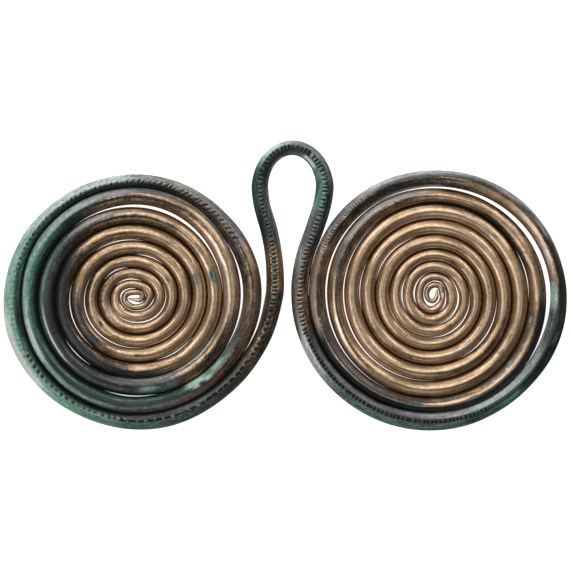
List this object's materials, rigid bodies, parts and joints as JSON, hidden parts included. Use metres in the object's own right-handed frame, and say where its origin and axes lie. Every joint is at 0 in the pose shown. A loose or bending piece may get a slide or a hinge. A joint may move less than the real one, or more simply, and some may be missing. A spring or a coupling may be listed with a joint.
{
  "type": "spectacle brooch",
  "caption": "Ancient bronze spectacle brooch: one tapering rod wound into two flat spiral discs, joined by a tall open loop with a notched crest.",
  "frame": {"origin": "under the middle of the outline, on the plane that the brooch lies on", "axes": "+X from the left disc to the right disc, +Y from the discs towards the loop, +Z out of the face"},
  "size_m": [0.1998, 0.103, 0.0057],
  "materials": {
    "bronze": "worn golden-brown bronze with dark brown and blue-green patina"
  },
  "bodies": {
    "root": {"brooch_rod": "bronze"}
  },
  "joints": []
}
